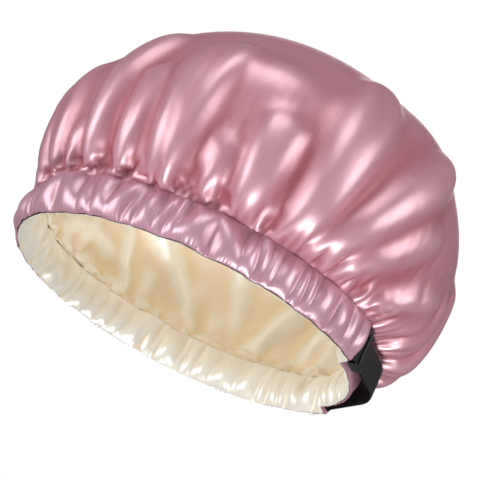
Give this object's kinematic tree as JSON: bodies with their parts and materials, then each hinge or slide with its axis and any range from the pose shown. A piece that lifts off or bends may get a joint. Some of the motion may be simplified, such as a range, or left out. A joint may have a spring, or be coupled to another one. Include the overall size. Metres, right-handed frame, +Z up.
{
  "type": "hair bonnet",
  "caption": "Full round satin sleep bonnet, satin lined, with a gathered elastic band and an adjuster strap and slide at the nape.",
  "frame": {"origin": "centre of the head opening, in the plane of the hem", "axes": "+X towards the nape, where the adjuster strap crosses the band; +Z up to the top of the crown; -Y towards the wearer's left"},
  "size_m": [0.2913, 0.2768, 0.191],
  "materials": {
    "outer_satin": "glossy satin weave, dusty pink",
    "lining_satin": "glossy satin weave, ivory",
    "elastic_webbing": "woven black elastic",
    "slide_plastic": "moulded, semi-gloss black",
    "pink_thread": "spun polyester sewing thread",
    "black_thread": "spun polyester sewing thread"
  },
  "bodies": {
    "bonnet": {"outer_crown": "outer_satin", "lining_crown": "lining_satin", "outer_casing": "outer_satin", "lining_casing": "lining_satin", "elastic_band": "elastic_webbing", "adjuster_strap": "elastic_webbing", "strap_tail": "elastic_webbing", "tail_bartack": "black_thread", "seam_thread": "pink_thread", "hem_thread": "pink_thread", "left_upper_bartack": "pink_thread", "left_lower_bartack": "pink_thread", "right_upper_bartack": "pink_thread", "right_lower_bartack": "pink_thread"},
    "slide": {"slide": "slide_plastic"}
  },
  "joints": [
    {"name": "slide_travel", "type": "slide", "parent": "bonnet", "child": "slide", "axis": [0.4491, 0.8935, 0], "range_m": [0, 0.018]}
  ]
}
